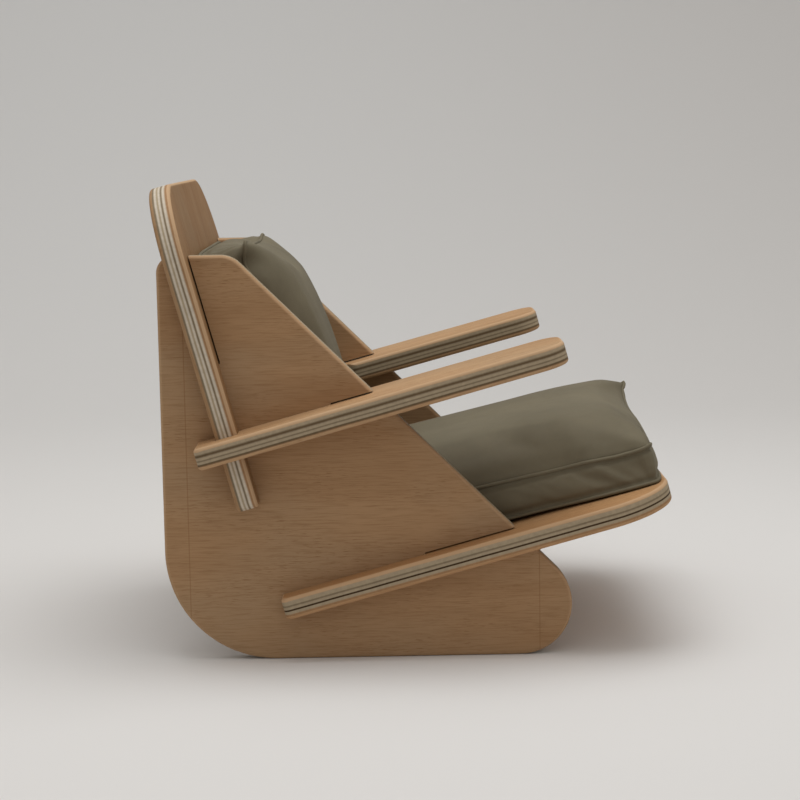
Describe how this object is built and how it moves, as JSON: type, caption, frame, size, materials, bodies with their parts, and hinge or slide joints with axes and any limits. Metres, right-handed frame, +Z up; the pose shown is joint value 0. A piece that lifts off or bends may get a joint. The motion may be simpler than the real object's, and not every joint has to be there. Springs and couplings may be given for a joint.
{
  "type": "wingback chair",
  "caption": "Lounge chair of interlocking plywood boards: winged sides, tilted seat, leaning back with headrest, flat arms, and loose welted box cushions that lift out.",
  "frame": {"origin": "on the floor under the middle of the chair's overall box", "axes": "+X forward, the way the sitter faces; +Y to the sitter's left; +Z up"},
  "size_m": [0.846, 0.7534, 0.772],
  "materials": {
    "side_plywood": "satin clear lacquer",
    "board_plywood": "satin clear lacquer",
    "cushion_cover": "matte",
    "cushion_crown": "matte leather over fibre wadding",
    "welt": "matte",
    "foam": "matte"
  },
  "bodies": {
    "frame": {"side_panel_left": "side_plywood", "side_panel_right": "side_plywood", "back_panel": "board_plywood", "seat_panel": "board_plywood", "arm_left": "board_plywood", "arm_right": "board_plywood"},
    "seat_cushion": {"seat_cushion_foam": "foam", "seat_cushion_top": "cushion_crown", "seat_cushion_side_band": "cushion_cover", "seat_cushion_bottom": "cushion_cover", "seat_cushion_welt_top": "welt", "seat_cushion_welt_bottom": "welt"},
    "back_cushion": {"back_cushion_foam": "foam", "back_cushion_front": "cushion_crown", "back_cushion_side_band": "cushion_cover", "back_cushion_rear": "cushion_cover", "back_cushion_welt_front": "welt", "back_cushion_welt_rear": "welt"}
  },
  "joints": [
    {"name": "seat_cushion_slide", "type": "slide", "parent": "frame", "child": "seat_cushion", "axis": [0.9659, 0, 0.2588], "range_m": [0, 0.7]},
    {"name": "back_cushion_lift", "type": "slide", "parent": "frame", "child": "back_cushion", "axis": [-0.2588, 0, 0.9659], "range_m": [0, 0.5]}
  ]
}
